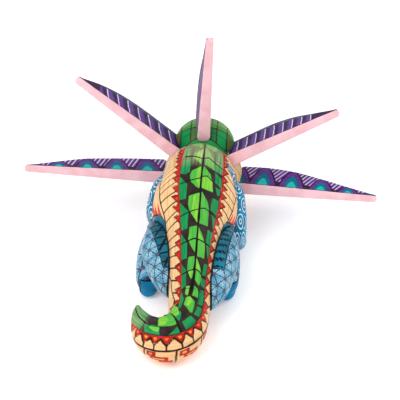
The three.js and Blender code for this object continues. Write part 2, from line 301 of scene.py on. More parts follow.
def turn_outwards(mesh):
    """Flips every face if the closed mesh is inside out."""
    mesh.calc_loop_triangles()
    corners = np.zeros(len(mesh.loop_triangles) * 3, int)
    mesh.loop_triangles.foreach_get("vertices", corners)
    a, b, c = coordinates(mesh)[corners.reshape(-1, 3)].transpose(1, 0, 2)
    if (a * np.cross(b, c)).sum() < 0:
        mesh.flip_normals()


def coordinates(mesh):
    flat = np.zeros(len(mesh.vertices) * 3)
    mesh.vertices.foreach_get("co", flat)
    return flat.reshape(-1, 3)


def closed_rings(name, rings):
    """A closed skin over rings of points, the first and the last of which have shrunk to a point."""
    count, around = rings.shape[:2]
    points = np.vstack([rings[0, :1], rings[1:-1].reshape(-1, 3), rings[-1, :1]])
    last = len(points) - 1
    ring = np.arange(count - 2)[:, None] * around + np.arange(around) + 1
    after = np.roll(ring, -1, axis=1)
    quads = np.stack([ring[:-1], ring[1:], after[1:], after[:-1]], axis=-1).reshape(-1, 4).tolist()
    caps = [(0, a, b) for a, b in zip(ring[0], after[0])]
    caps += [(last, b, a) for a, b in zip(ring[-1], after[-1])]
    return mesh_object(name, points, quads + [tuple(map(int, cap)) for cap in caps])


def lathe(name, start, end, profile, sides, facets=0.0):
    """A closed round body about the line from start to end. The profile is (share of the length, radius) pairs."""
    start, end = np.asarray(start, float), np.asarray(end, float)
    axis = unit(end - start)
    side = unit(np.cross(axis, (0.3, 0.5, 0.81)))
    front = np.cross(axis, side)
    angles = np.arange(sides) * 2 * math.pi / sides
    rings = []
    for share, radius in profile:
        uneven = radius * (1 - facets * np.cos(5 * angles + 4 * share) ** 2)
        ring = uneven[:, None] * (np.cos(angles)[:, None] * side + np.sin(angles)[:, None] * front)
        rings.append(start + (end - start) * share + ring)
    points = np.vstack(rings)
    quads = []
    for k in range(len(profile) - 1):
        for j in range(sides):
            after = (j + 1) % sides
            quads.append((k * sides + j, k * sides + after, (k + 1) * sides + after, (k + 1) * sides + j))
    last = (len(profile) - 1) * sides
    caps = [tuple(range(sides - 1, -1, -1)), tuple(range(last, last + sides))]
    return mesh_object(name, points, quads + caps)


def rod_hole(ends, radius):
    """The cutter for a drilled hole, a little longer and wider than its dowel."""
    start, end = (np.asarray(p, float) for p in ends)
    axis = unit(end - start)
    return lathe("hole", start - axis * GAP, end + axis * GAP, ((0, radius + GAP), (1, radius + GAP)), 48)


def dowel_holes(node):
    """The cutters for the dowels in that piece."""
    return [rod_hole(dowel["ends"], dowel["radius"]) for dowel in DOWELS.values() if node in ("trunk", dowel["to"])]


def block(low, high):
    """A box between two corners."""
    corners = [(x, y, z) for x in (low[0], high[0]) for y in (low[1], high[1]) for z in (low[2], high[2])]
    faces = [(0, 1, 3, 2), (4, 6, 7, 5), (0, 4, 5, 1), (2, 3, 7, 6), (0, 2, 6, 4), (1, 5, 7, 3)]
    return mesh_object("block", corners, faces)


def egg(at, radii):
    """A fine ellipsoid."""
    t = np.linspace(0, math.pi, 40)[:, None]
    angles = np.arange(64) * math.pi / 32
    rings = np.broadcast_arrays(np.sin(t) * np.sin(angles), -np.cos(t), np.sin(t) * np.cos(angles))
    return closed_rings("egg", np.array(at) + np.stack(rings, axis=-1) * radii)


def settle(piece):
    """Applies the piece's modifiers and clears them."""
    graph = bpy.context.evaluated_depsgraph_get()
    mesh = bpy.data.meshes.new_from_object(piece.evaluated_get(graph))
    piece.modifiers.clear()
    old = piece.data
    piece.data = mesh
    bpy.data.meshes.remove(old)


def cut(piece, cutters):
    """Takes each cutter's volume off the piece, and removes the cutter."""
    for cutter in cutters:
        modifier = piece.modifiers.new("cut", "BOOLEAN")
        modifier.operation = "DIFFERENCE"
        modifier.solver = "MANIFOLD"
        modifier.object = cutter
        settle(piece)
        bpy.data.objects.remove(cutter)


def fuse(name, bodies, voxel, smoothing):
    """Joins closed bodies into one carved skin, with their meeting lines softened as a rasp leaves them."""
    points, faces = [], []
    for body in bodies:
        start = len(points)
        points += coordinates(body.data).tolist()
        faces += [tuple(start + v for v in polygon.vertices) for polygon in body.data.polygons]
        bpy.data.objects.remove(body)
    piece = mesh_object(name, points, faces)
    remesh = piece.modifiers.new("skin", "REMESH")
    remesh.mode = "VOXEL"
    remesh.voxel_size = voxel
    smooth = piece.modifiers.new("soften", "SMOOTH")
    smooth.iterations = smoothing
    settle(piece)
    return piece


def grown_copy(piece, amount):
    """A copy whose surface lies further out, for cutting a neighbour clear of it."""
    copy = add_object("grown", piece.data.copy())
    normals = np.zeros(len(copy.data.vertices) * 3)
    copy.data.vertices.foreach_get("normal", normals)
    moved = coordinates(copy.data) + amount * normals.reshape(-1, 3)
    copy.data.vertices.foreach_set("co", moved.ravel())
    return copy


def store(piece, layers):
    """Writes each named layer on the mesh, one number for each vertex."""
    count = len(piece.data.vertices)
    for name, values in layers.items():
        attribute = piece.data.attributes.new(name, "FLOAT", "POINT")
        attribute.data.foreach_set("value", np.broadcast_to(values, count).astype(np.float32))


SLOTS = {part["node"]: part["material_slot"] for part in frame["record"]["subparts"]}


def hand_over(piece, node, material):
    """Moves a finished piece into the frame, in metres, and lets it stand for its CAD node."""
    piece.name = "painted_" + node if SLOTS[node] != "bare_wood" else "whittled_" + node
    piece.data.transform(Matrix.Translation(OFFSET) @ Matrix.Scale(MM, 4))
    piece.data.materials.clear()
    piece.data.materials.append(material)
    piece.data.shade_smooth()
    piece.data.set_sharp_from_angle(angle=math.radians(42))
    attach(piece, frame["nodes"][node]["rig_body"])
    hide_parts(node)


# ---- Painted shapes: signed distances in millimetres, positive inside ----


def between(x, low, high):
    return np.minimum(x - low, high - x)


def inside(*shapes):
    return np.minimum.reduce(np.broadcast_arrays(*shapes))


def either(*shapes):
    return np.maximum.reduce(np.broadcast_arrays(*shapes))


def outline(shape, half):
    """A line along the shape's edge, that far to each side of it."""
    return half - abs(shape)


def stroke(x, y, points, width):
    """A brush line of that width through the points."""
    nearest = np.full(np.shape(x), 1e3)
    for (x0, y0), (x1, y1) in zip(points, points[1:]):
        square = (x1 - x0) ** 2 + (y1 - y0) ** 2
        share = np.clip(((x - x0) * (x1 - x0) + (y - y0) * (y1 - y0)) / square, 0, 1)
        nearest = np.minimum(nearest, np.hypot(x - x0 - share * (x1 - x0), y - y0 - share * (y1 - y0)))
    return width / 2 - nearest


def tooth(x, y, half, height):
    """A triangle standing on y = 0 with its apex at (0, height)."""
    slope = height / half
    return inside(y, (height - slope * abs(x) - y) / math.hypot(1, slope))


def count_lines(x, places):
    """A number that is whole at each of the places and even between them."""
    numbers = np.arange(len(places))
    low = (x - places[0]) / (places[1] - places[0])
    high = numbers[-1] + (x - places[-1]) / (places[-1] - places[-2])
    middle = np.interp(x, places, numbers)
    return np.where(x < places[0], low, np.where(x > places[-1], high, middle))


def lattice(x, y, pitch):
    """A net of triangles: its three line families with the three between them, and the distance to a node."""
    rise = pitch * math.sqrt(0.75)
    lines = {}
    for family, space, turn in (("net", rise, 0), ("ray", pitch / 2, 30)):
        for k in range(3):
            angle = math.radians(60 * k + turn)
            lines["%s_%d" % (family, k)] = (x * math.sin(angle) - y * math.cos(angle)) / space
    node = np.full(np.shape(x), 1e3)
    row = np.floor(y / rise)
    for line in (row, row + 1):
        shift = np.mod(line, 2) * pitch / 2
        off = np.mod(x - shift + pitch / 2, pitch) - pitch / 2
        node = np.minimum(node, np.hypot(off, y - line * rise))
    return lines, node


# ---- Materials ----


def colour(code):
    """A linear RGBA colour from a six-digit screen colour."""
    channels = [int(code[i:i + 2], 16) / 255 for i in (0, 2, 4)]
    linear = [c / 12.92 if c <= 0.04045 else ((c + 0.055) / 1.055) ** 2.4 for c in channels]
    return (*linear, 1.0)


class Finish:
    """A node material, and the steps that paint and bare wood share."""

    def __init__(self, name):
        self.material = bpy.data.materials.new(name)
        self.material.use_nodes = True
        self.tree = self.material.node_tree
        self.shader = self.tree.nodes["Principled BSDF"]
        self.place = self.tree.nodes.new("ShaderNodeTexCoord").outputs["Object"]

    def add(self, kind, inputs, output=0, **settings):
        """Adds a node and returns one of its outputs. Each input is a node's output, a value or a colour."""
        node = self.tree.nodes.new("ShaderNode" + kind)
        for key, value in settings.items():
            setattr(node, key, value)
        for key, value in inputs.items():
            if isinstance(value, bpy.types.NodeSocket):
                self.tree.links.new(value, node.inputs[key])
            else:
                node.inputs[key].default_value = colour(value) if isinstance(value, str) else value
        return node.outputs[output]

    def math(self, operation, first, second=0.0):
        return self.add("Math", {0: first, 1: second}, operation=operation)

    def noise(self, vector, scale, detail):
        return self.add("TexNoise", {"Vector": vector, "Scale": scale, "Detail": detail}, "Fac")

    def field(self, name):
        return self.add("Attribute", {}, "Fac", attribute_name=name)

    def spread(self, value, low, high, to_low=0.0, to_high=1.0):
        ends = {"From Min": low, "From Max": high, "To Min": to_low, "To Max": to_high}
        return self.add("MapRange", {"Value": value, **ends}, "Result")

    def mixed(self, first, second, share):
        return self.add("Mix", {0: share, 6: first, 7: second}, 2, data_type="RGBA")

    def done(self, top, roughness, relief, marks, height):
        """Joins the colour, the roughness and the marks in the surface, of that height in millimetres."""
        bump = self.add("Bump", {"Strength": relief, "Distance": height * MM, "Height": marks}, "Normal")
        self.tree.links.new(top, self.shader.inputs["Base Color"])
        self.tree.links.new(bump, self.shader.inputs["Normal"])
        if isinstance(roughness, bpy.types.NodeSocket):
            self.tree.links.new(roughness, self.shader.inputs["Roughness"])
        else:
            self.shader.inputs["Roughness"].default_value = roughness
        return self.material


class Paint(Finish):
    """A ground coat, then layers of paint over it in order, under a satin varnish. A layer lies where its
    attribute is above nought, with a slightly unsteady edge."""

    EDGE = 0.12  # half the width over which two paints meet, in millimetres

    def __init__(self, name, ground, second, streaks=(0.05, 0.75)):
        super().__init__(name)
        self.hand = self.math("SUBTRACT", self.noise(self.place, 190, 2), 0.5)
        self.blotch = self.spread(self.noise(self.place, 110, 3), 0.35, 0.65)
        brush = {
            "X": self.math("MULTIPLY", self.field("along"), streaks[0]),
            "Y": self.math("MULTIPLY", self.field("across"), streaks[1]),
        }
        self.bristles = self.noise(self.add("CombineXYZ", brush, "Vector"), 1.0, 4)
        self.streak = self.spread(self.bristles, 0.36, 0.64)
        self.top = self.mixed(ground, second, self.streak)

    def covered(self, shape, wobble):
        steady = self.math("MULTIPLY", self.hand, wobble)
        return self.spread(self.math("ADD", self.field(shape), steady), -self.EDGE, self.EDGE)

    def lay(self, coat, mask, strength=1.0):
        if strength != 1.0:
            mask = self.math("MULTIPLY", mask, strength)
        self.top = self.mixed(self.top, coat, mask)

    def area(self, shape, first, second=None, share=None, wobble=0.9, strength=1.0):
        """Covers the shape with two paints that change along the brush streaks, or by the share given."""
        coat = self.mixed(first, second or first, share or self.streak)
        self.lay(coat, self.covered(shape, wobble), strength)

    def daub(self, shape, first, second, **options):
        """Covers the shape with two paints in soft blotches."""
        self.area(shape, first, second, self.blotch, **options)

    def ruled(self, counter, width, code, within=None, soft=0.04, wobble=0.16, strength=1.0):
        """Lines wherever the counter is whole, each as wide as that share of the space between two of them."""
        shaken = self.math("ADD", self.field(counter), self.math("MULTIPLY", self.hand, wobble))
        away = self.math("PINGPONG", shaken, 0.5)
        mask = self.spread(away, width / 2 - soft, width / 2 + soft, 1.0, 0.0)
        if within:
            mask = self.math("MULTIPLY", mask, self.covered(within, 0.9))
        self.lay(code, mask, strength)

    def varnish(self, shine=(0.3, 0.46), gloss=0.12):
        """The last step: satin varnish over brush marks and the wood's fine grain."""
        self.shader.inputs["Specular IOR Level"].default_value = gloss
        fine = self.noise(self.place, 900, 3)
        marks = self.math("ADD", self.math("MULTIPLY", self.bristles, 0.7), self.math("MULTIPLY", fine, 0.3))
        return self.done(self.top, self.spread(self.blotch, 0, 1, *shine), 0.35, marks, 0.3)


WOOD = ("DDB98A", "B98D5C")
CREAM, PEACH = "EBC592", "D6A36E"
RED, CRIMSON, ORANGE, YELLOW = "B81A16", "8E1614", "DE5620", "EDA534"
EMERALD, DEEP_GREEN, LIME, GRASS = "0B9450", "066A38", "86C636", "2F9E3E"
GROUT, BLACK, SEPIA = "1E1512", "060505", "2A1508"
DEEP_TEAL = ("10708A", "085062")


# ---- Trunk and tail ----

# Every place here is (s, w): s along the ridge from the trunk's rear end, w round the section from the ridge.
# A tile's row gives the s and w of its corners in turn.
BAND = ((0, 20, 40, 60, 80, 90, 120, 150, 162, 174, 200), (9, 9, 9, 11, 12.5, 13.5, 16, 16, 15, 12.5, 12))

RIDGE_TILES = (
    (178, -1, 172, -8, 164, -8.5, 159, -2),
    (180, 1, 172, 7, 163, 10, 158.5, 7.5, 161.5, 1.5),
    (157, -1, 152, -6.5, 147, -6.5, 142.5, -1.5),
    (160, 1, 153, 5, 147, 8, 139.5, 9, 142.5, 2),
    (139.5, -1, 137.5, -3.5, 134.5, -7, 130, -8, 124, -7, 119, -2.5, 118, -1),
    (140, 1, 134, 6, 128, 8, 118, 9, 119, 1),
    (113.5, -1, 110, -8, 102, -8, 96, -6.3, 90, -3, 86, -1),
    (115, 1, 107, 5, 101, 6.5, 86, 7, 86, 1),
    (83, -1, 82, -5.5, 73, -6, 68, -4, 63, -1),
    (81.5, 0.7, 76, 3.5, 70, 6, 60, 6, 60, 1),
    (59.5, -1.2, 59, -5, 50, -5.3, 43.5, -2.3),
    (58.5, 0.4, 50, 3.8, 44, 4.6, 39.5, 3.5, 43, 0.8),
    (38, -5, 38, -2.6, 32, -3.8, 33, -5.5),
    (38, 0.6, 36, 3, 31, 3, 32, -0.5),
    (31, -2.5, 30, -4.6, 25, -4.6, 19, 1, 19, 2.2, 27, 1.6),
    (-8.8, -16, -8.8, -8, -4.8, 2.4, 5.2, 2.2, 6.9, -3, 9.4, -11, 9.4, -16),
)
LIME_TILES = (
    (156, -1.5, 151, -5, 147, -5, 143.5, -2),
    (139, -1, 136, -4, 126, -3.5, 119, -1),
    (129, 1, 130.5, 4, 127, 8, 118.5, 8.6, 119.5, 1),
    (113, -1, 110.5, -4.5, 97, -5, 90, -2.5, 87, -1),
    (98, -3, 96.5, -6, 90, -3, 90, -2),
    (78, 0.8, 75, 3, 73, 3.5, 73, 0.8),
    (49, -1.4, 49, -4.6, 44, -2.3, 44, -1.4),
    (57, 0.6, 52, 2.6, 50, 3, 50, 0.6),
    (37.5, -4.8, 37.5, -2.8, 32.5, -3.9, 33.5, -5.2),
    (30.8, -2.4, 29.5, -4.4, 25, -4.4, 24, -1.5, 28.5, 0),
    (25.5, -12.5, 23, -9.6, 12, -4, 9.6, -3.8, 9.4, -14, 22, -16),
    (1.5, -3.5, -1, 1, -4.4, 1.8, -6.6, -3, -8.2, -8, -2, -8),
    (-4.2, 4.1, -4, 6.4, -6.5, 6.2, -9.5, 4.5, -9, 4.1),
)
SIDE_TILES = (
    (162, -16.5, 160, -11, 151, -10, 149, -16),
    (146, -15, 146, -8.7, 134, -9, 131.5, -12, 133, -15.5),
    (129, -15.6, 121, -10, 108, -10.3, 108, -15),
    (105, -14.7, 96, -7.8, 82, -7.5, 81.5, -11.5, 92, -13.5),
    (77, -11.6, 70, -7, 58.5, -6.3, 58.5, -10.4),
    (54.5, -9.8, 50, -6.6, 39, -5.6, 37, -8.5),
    (34, -8.4, 30, -6.6, 22, -6.8, 22, -8.6),
    (160, 10.5, 160, 16, 151, 16, 150, 11),
    (148, 9.8, 148, 15.6, 139, 15.8, 139, 10),
    (137, 10, 134, 15.2, 125, 15.4, 127, 10.8),
    (123.5, 11.5, 123.5, 15, 118, 14.6, 117, 13),
    (112, 9, 112, 14.3, 99.5, 13.8, 100.5, 8.5),
    (98, 9.8, 97.5, 13.6, 87, 12.8),
    (83, 7.6, 83, 12.2, 72.5, 11.4, 72.5, 7.2),
    (70.8, 7.6, 70.8, 11.2, 62, 10),
    (56, 6.8, 56.5, 9.8, 48, 8.4, 47, 5.4),
    (44.5, 5.6, 44.5, 8.2, 39, 8, 40, 5.4),
    (36, 4.8, 36, 7.8, 27, 7.6, 27, 4.2),
    (25, 4.6, 25, 7.8, 19, 7.8, 19, 4.3),
    (16, 3, 16, 8, 9, 8.2, 9.5, 3),
    (5, 4.6, 5.4, 8.6, 1, 8.8),
    (-4, 3.4, -3, 9, -9.5, 9, -13, 4.4, -8, 2.8),
    (21, -7.8, 12, -1.8, 8.4, 0.8, 8.6, -4.6, 12, -4.8),
)
RIBS = (
    ((150, -14), (149, -7), (147, -1), (149, 4), (146, 9), (144, 16)),
    ((122, -15), (125, -7.5), (128, -1), (130, 0.5), (131.5, 4), (128, 8.5), (125, 15.5)),
    ((93.5, -14), (95.5, -7.5), (97.5, -1.5), (99, 1), (100, 4), (98.5, 8), (97, 14)),
    ((70, -12), (71.5, -5.5), (73, -2), (72.5, 2), (71.8, 6), (71.4, 12)),
    ((47.5, -9), (49, -4.5), (50.5, 0), (49, 3), (47, 5), (45.5, 9)),
    ((26.2, 2), (26, 9)),
)
TAIL_RIB = ((11.6, -12), (8.2, -5), (7, -1.5), (6.3, 3), (6, 8.8))
RIDGE_LINE = ((31, 41, 60, 200), (-3, -0.9, 0, 0))
RIDGE_LINE_HALF = (
    (31, 36, 42, 57, 60, 64, 83, 86, 90, 112, 115, 119, 139, 142, 146, 160, 172),
    (0.7, 1.2, 1, 0.4, 0.6, 0.9, 0.35, 0.6, 1, 0.35, 0.5, 0.8, 0.3, 0.45, 0.6, 0.3, 0.1),
)

TEETH = {
    -1: (160, 156, 152, 148, 144, 138.5, 132.5, 126, 117, 108, 100, 92, 80, 70, 61.5, 52, 43, 34, 25),
    1: (164, 157, 150, 142, 134, 126, 118, 109, 101, 94, 86, 79, 71, 62, 53, 44, 35, 26),
}
TOOTH_HALF, TOOTH_HEIGHT = 4.1, 5.4
TOOTH_LEAN = {-1: -0.7, 1: -0.4}
TAIL_TEETH = (17.5, 22.5, 27.3, 31.8, 36.2, 41, 46.3, 51.8, 57, 62)
BARB_SLOPE = {
    -1: ((40, 52, 64, 80, 100, 120, 150), (-0.3, -0.5, -0.42, 0, 0.22, 0.5, 0.5)),
    1: ((40, 60, 72, 90, 110, 150), (-0.4, -0.5, -0.5, -0.1, 0.3, 0.3)),
}
FLANK_EDGE = {
    -1: ((30, 37, 50, 57, 80, 104, 120, 137, 160), (14, 18, 22, 28.5, 30, 30, 32.5, 35, 36)),
    1: ((30, 45, 60, 90, 110, 120, 133, 160), (20, 22, 26, 28, 29, 31, 34, 36)),
}
# The blue above each hind leg has leaning edges, each as (its place, its lean, where it has that place).
HAUNCH_TOP = {-1: (103.5, 0.5, 31), 1: (103, 0.55, 27)}
HAUNCH_FRONT = {-1: (30.5, 0.6, 99), 1: (24.7, 0.3, 94)}
HAUNCH_REAR, HAUNCH_BOTTOM = 60, 47
# The flames at its front, which stand round the section from FLAMES_FROM.
FLAMES = (0, 4, 8)
FLAMES_FROM = {-1: 34.5, 1: 31.5}
FLAME_SIZE = (2, 9)
# The blue beside each front leg, given in the same way.
SHOULDER_REAR = {-1: (132, 0.3, 30), 1: (133, -1.43, 34)}
SHOULDER_TOP = 33  # on the left
SHOULDER_FRONT = (156, 0.2, 20)  # on the right, where its rear edge slants
SHOULDER_SLANT = 1.75
TILE_SPREAD = 0.3
SKIN = 0.5  # how far the bare wood of a cut or a hole shows beyond it
CELL = 11  # between the cross lines of the lower flanks, which start at STEPS_FROM
STEPS_FROM, STEPS_TO = -10, 211
STAIR_COUNT, STAIR_RUN, STAIR_RISE, STAIR_HEIGHT, STAIR_END = 5, 1.5, 2.2, 2.4, 10
STAIRS_BELOW = 9  # how far under the flank's edge the stairs begin
# A painted highlight, a pale sheen of reflected light over the plates, fades in over this run
SHEEN_FADE = 40
SHEEN_FROM = 143  # from here towards the neck the plates carry a painted highlight, a pale sheen of reflected light


def tiles(s, w, table):
    """Convex tiles, each given as the s and w of its corners in turn."""
    made = []
    for row in table:
        corners = list(zip(row[::2], row[1::2]))
        pairs = list(zip(corners, corners[1:] + corners[:1]))
        turn = math.copysign(1, sum(a[0] * b[1] - b[0] * a[1] for a, b in pairs))
        sides = []
        for (s0, w0), (s1, w1) in pairs:
            off = (s1 - s0) * (w - w0) - (w1 - w0) * (s - s0)
            sides.append(turn * off / math.hypot(s1 - s0, w1 - w0))
        made.append(inside(*sides))
    return either(*made) + TILE_SPREAD


def leaning(x, place, lean, middle):
    """A straight edge's place at x, from its place at the middle and its lean."""
    return place + lean * (x - middle)


def trunk_paint(s, w):
    """The trunk's painted shapes by the run along its ridge and round its section."""
    a = abs(w)
    left = w < 0

    def pick(make):
        return np.where(left, make(-1), make(1))

    band = np.interp(s, *BAND)
    ribs = either(*[stroke(s, w, rib, 1.0) for rib in RIBS])
    ridge_half = np.interp(s, *RIDGE_LINE_HALF)

    def teeth(side):
        lean = TOOTH_LEAN[side] * (a - band)
        return either(*[tooth(s - p + lean, a - band, TOOTH_HALF, TOOTH_HEIGHT) for p in TEETH[side]])

    points = pick(teeth)
    slope = pick(lambda side: np.interp(s, *BARB_SLOPE[side]))
    barbs = pick(lambda side: count_lines(s + slope * (a - band), TEETH[side][::-1]))
    edge = pick(lambda side: np.interp(s, *FLANK_EDGE[side]))
    lower = a - edge
    steps = count_lines(s, range(STEPS_FROM, STEPS_TO, CELL))
    cell = (steps - np.floor(steps)) * CELL
    below = lower - STAIRS_BELOW
    treads = []
    for k in range(STAIR_COUNT):
        bar = between(below, STAIR_RISE * k, STAIR_RISE * k + STAIR_HEIGHT)
        treads.append(inside(cell - STAIR_RUN * k, STAIR_END - cell, bar))
    stairs = either(*treads)
    haunch_top = pick(lambda side: leaning(a, *HAUNCH_TOP[side]))
    haunch_front = pick(lambda side: np.maximum(leaning(s, *HAUNCH_FRONT[side]), HAUNCH_FRONT[side][0]))
    haunch = inside(a - haunch_front, haunch_top - s, s - HAUNCH_REAR, HAUNCH_BOTTOM - a)
    flame_reach = pick(lambda side: a - FLAMES_FROM[side])
    flames = either(*[tooth(flame_reach - p, s - haunch_top, *FLAME_SIZE) for p in FLAMES])
    shoulder_left = inside(s - leaning(a, *SHOULDER_REAR[-1]), a - SHOULDER_TOP)
    shoulder_right = inside((s - leaning(a, *SHOULDER_REAR[1])) / SHOULDER_SLANT, leaning(a, *SHOULDER_FRONT) - s)
    shoulder = np.where(left, shoulder_left, shoulder_right)
    return {
        "along": s,
        "across": a,
        "band": band - a,
        "ridge_tiles": tiles(s, w, RIDGE_TILES),
        "lime_tiles": tiles(s, w, LIME_TILES),
        "side_tiles": inside(tiles(s, w, SIDE_TILES), band - 0.3 - a),
        "ribs": inside(ribs, band - a),
        "ridge_line": inside(outline(w - np.interp(s, *RIDGE_LINE), ridge_half), s - RIDGE_LINE[0][0]),
        # The painted highlight: a pale sheen of reflected light over the plates near the neck
        "painted_sheen": inside((s - SHEEN_FROM) / SHEEN_FADE, (band - a) / 3),
        "points": either(between(a, band - 0.2, band + 1.0), points),
        "point_hearts": inside(points - 1.7, a - band - 1.3),
        "point_edges": inside(outline(points + 0.2, 0.42), a - band - 0.8),
        "barbs": barbs,
        "flank": between(a, band + 1.2, edge),
        "flank_edge": outline(lower, 0.6),
        "stairs": inside(stairs, below - 0.5),
        "stair_hearts": inside(stairs - 1.5, below - 0.5),
        "flames": flames,
        "haunch": haunch,
        "haunch_edge": inside(haunch + 0.7, 0.2 - haunch),
        "steps": steps,
        "below": below,
        "belly": lower - 23,
        "shoulder": shoulder,
        "shoulder_edge": outline(shoulder, 0.45),
    }


def body_material(name):
    paint = Paint(name, CREAM, PEACH)
    paint.area("below", "E6BC8A", "D8A473")
    paint.ruled("steps", 0.055, SEPIA, "below", soft=0.015, wobble=0.06)
    paint.daub("flames", RED, "DD5A40")
    paint.daub("stairs", RED, CRIMSON)
    paint.area("stair_hearts", ORANGE, YELLOW)
    paint.ruled("barbs", 0.13, SEPIA, "flank", soft=0.025, wobble=0.1)
    paint.daub("points", RED, "A81612")
    paint.daub("point_hearts", ORANGE, YELLOW)
    paint.area("point_edges", SEPIA)
    paint.area("flank_edge", SEPIA)
    paint.area("belly", "E08246", "EBA15F")
    paint.ruled("steps", 0.12, RED, "belly")
    paint.daub("haunch", *DEEP_TEAL)
    paint.area("haunch_edge", BLACK)
    paint.daub("band", GROUT, "33251F")
    paint.area("side_tiles", EMERALD, DEEP_GREEN)
    paint.area("ridge_tiles", GRASS, "5CAF38")
    paint.area("lime_tiles", LIME, "55AA3A")
    # A painted highlight: a pale sheen of reflected light on the hump near the neck and at the tail's tip
    paint.area("painted_sheen", "C6BD94", "5F9A5C", wobble=0.1, strength=0.46)
    paint.area("ribs", BLACK, wobble=0.5)
    paint.area("ridge_line", BLACK, wobble=0.5)
    return paint


def coat_body(piece, node, layers, depth, paint):
    """Paints the trunk or the tail, and leaves the wood bare where it is cut."""
    layers["bare"] = depth - SKIN
    store(piece, layers)
    paint.area("bare", *WOOD)
    hand_over(piece, node, paint.varnish())


def trunk_form(**options):
    return Form(SPINE[TRUNK_FROM:], BLUNT_ENDS, SPINE_RIDGE, **options)


def tail_form(**options):
    return Form(SPINE[:TAIL_STATIONS], BLUNT_ENDS, SPINE_RIDGE, **options)


def make_trunk(form):
    piece = form.mesh("trunk")
    behind = block((-FAR, -FAR, -FAR), (FAR, TAIL_PLANE + GAP, FAR))
    ahead = block((-FAR, NECK_PLANE, -FAR), (FAR, FAR, FAR))
    cut(piece, [behind, ahead] + dowel_holes("trunk"))
    s, w, depth = form.locate(coordinates(piece.data))
    layers = trunk_paint(s, w)
    layers["arcs"] = lattice(w, 0.7 * s, 13.0)[1] / 3.4 + 0.4
    paint = body_material("trunk_paint")
    paint.area("shoulder", "0F7299", "0A4F72")
    paint.ruled("arcs", 0.2, "DCEEF6", "shoulder", soft=0.06, wobble=0.7)
    paint.area("shoulder_edge", "16445F")
    coat_body(piece, "trunk", layers, depth, paint)


HOOK_FROM = 62  # the tail's run up to which its hook has patterns of its own
TAIL_TIP = 18
HOOK_LINE = (3, 0.1, 18)  # the line through its last plates, as w, its lean, and the run where it has that w
FRET_LINES = (5, 16.5, 28, 39, 50.5, 62, 73)
FRET_CELL = 11.3
# The stepped bars in one cell of the hook's lower band, as (low s, high s, low depth, high depth).
FRETS = ((0.9, 4.8, 1.2, 6.2), (2.4, 9, 5.2, 9.6), (6, 10.6, 9, 13.4))
FRET_HEARTS = ((3.6, 7.8, 6.9, 8.6), (7, 10, 11, 12.6), (1.8, 3.4, 2.4, 4.6))


def tail_paint(s, w):
    layers = trunk_paint(s - TAIL_TO_TRUNK, w)
    a = abs(w)
    hooked = HOOK_FROM - s > 0
    band = np.where(w > 0, 9.3, 14.0) * np.clip(s / 14, 0.2, 1)
    on_band = band - a
    teeth = either(*[tooth(s - p, a - band, 2.7, 6.2) for p in TAIL_TEETH])
    lower = a - band - 10.3
    tip = TAIL_TIP + np.clip(0.75 * w, -5, 4) - s
    cells = count_lines(s, FRET_LINES)
    cell = (cells - np.floor(cells)) * FRET_CELL

    def bars(table):
        return either(*[inside(between(cell, c0, c1), between(lower, d0, d1)) for c0, c1, d0, d1 in table])

    own = {
        "band": on_band,
        "side_tiles": either(inside(layers["side_tiles"], on_band - 0.3), inside(tip, on_band)),
        "ribs": inside(stroke(s - TAIL_TO_TRUNK, w, TAIL_RIB, 1.1), on_band),
        "ridge_line": inside(outline(w - leaning(s, *HOOK_LINE), 0.45), between(s, 4, 23)),
        # The painted highlight: a pale sheen of reflected light near the tail's tip
        "painted_sheen": inside(tip / SHEEN_FADE, on_band / 3),
        "points": either(teeth, between(a, band - 0.2, band + 0.9)),
        "point_hearts": inside(teeth - 1.15, a - band - 1.3),
        "point_edges": inside(outline(teeth + 0.2, 0.38), a - band - 0.6),
        "barbs": count_lines(s, TAIL_TEETH),
        "flank": between(a, band + 5.6, band + 10.3),
        "flank_edge": outline(lower, 0.8),
        "steps": cells,
        "below": lower,
        "stairs": bars(FRETS),
        "stair_hearts": bars(FRET_HEARTS),
        **dict.fromkeys(("flames", "haunch", "haunch_edge"), -5.0),
        "belly": lower - 16,
    }
    for key, values in own.items():
        layers[key] = np.where(hooked, values, layers[key])
    del layers["shoulder"], layers["shoulder_edge"]
    return layers


def make_tail(form):
    piece = form.mesh("tail")
    ahead = block((TAIL_LEFT, TAIL_PLANE, -FAR), (FAR, FAR, FAR))
    ground = block((-FAR, -FAR, -FAR), (FAR, FAR, 0))
    cut(piece, [ahead, ground] + dowel_holes("tail"))
    s, w, depth = form.locate(coordinates(piece.data))
    coat_body(piece, "tail", tail_paint(s, w), depth, body_material("tail_paint"))


# ---- Head ----

# The head's plates stand in columns beside its middle plane, and in rows over the dome and then forwards.
JAW_ENDS = 6
HEAD_VOXEL = 0.62
EYE = np.array([19.5, 110.5, 56.0])  # from the head's middle plane
GLINT = np.array([0.3, 1.1, 1.3])  # from the eye's middle
EYE_RINGS = {"socket": 6.6, "iris": 5.2, "white": 3.9, "pupil": 2.7}
NOSTRIL_HOLE = (7.2, 132.6, 51.2)  # from the head's middle plane
CROWN_EDGE = ((68, 84, 95, 110, 136), (64, 58, 53, 49, 45))  # its height along the head
CHEEK_DEPTH = 22  # how far under the crown's edge the throat's colour starts
OTHER_PLATES = -2.0  # what a plate layer holds on the plates of another colour
COLUMNS = (0, 5.6, 9.8, 17.2, 24.5, 34)
DOME_RADIUS = 20
ROWS = (-20, -9, 0.7, 25, 37, 46, 56, 66, 76, 86)


def head_skin():
    middle = SKULL["at"][0]
    bodies = [Form(NECK_AND_SNOUT, JAW_ENDS, step=COARSE).mesh("jaw"), egg(SKULL["at"], SKULL["radii"])]
    for bump in (BROW, NOSTRIL):
        for side in (-1, 1):
            bodies.append(egg((middle + side * bump["out"], bump["y"], bump["z"]), bump["radii"]))
    return fuse("head", bodies, HEAD_VOXEL, SOFTENING)


def nearest_line(x, places):
    """Which space between the places x lies in, and how far it is from the nearer of them."""
    index = np.clip(np.searchsorted(places, x) - 1, 0, len(places) - 2)
    places = np.asarray(places, float)
    return index, np.minimum(abs(x - places[index]), abs(x - places[index + 1]))


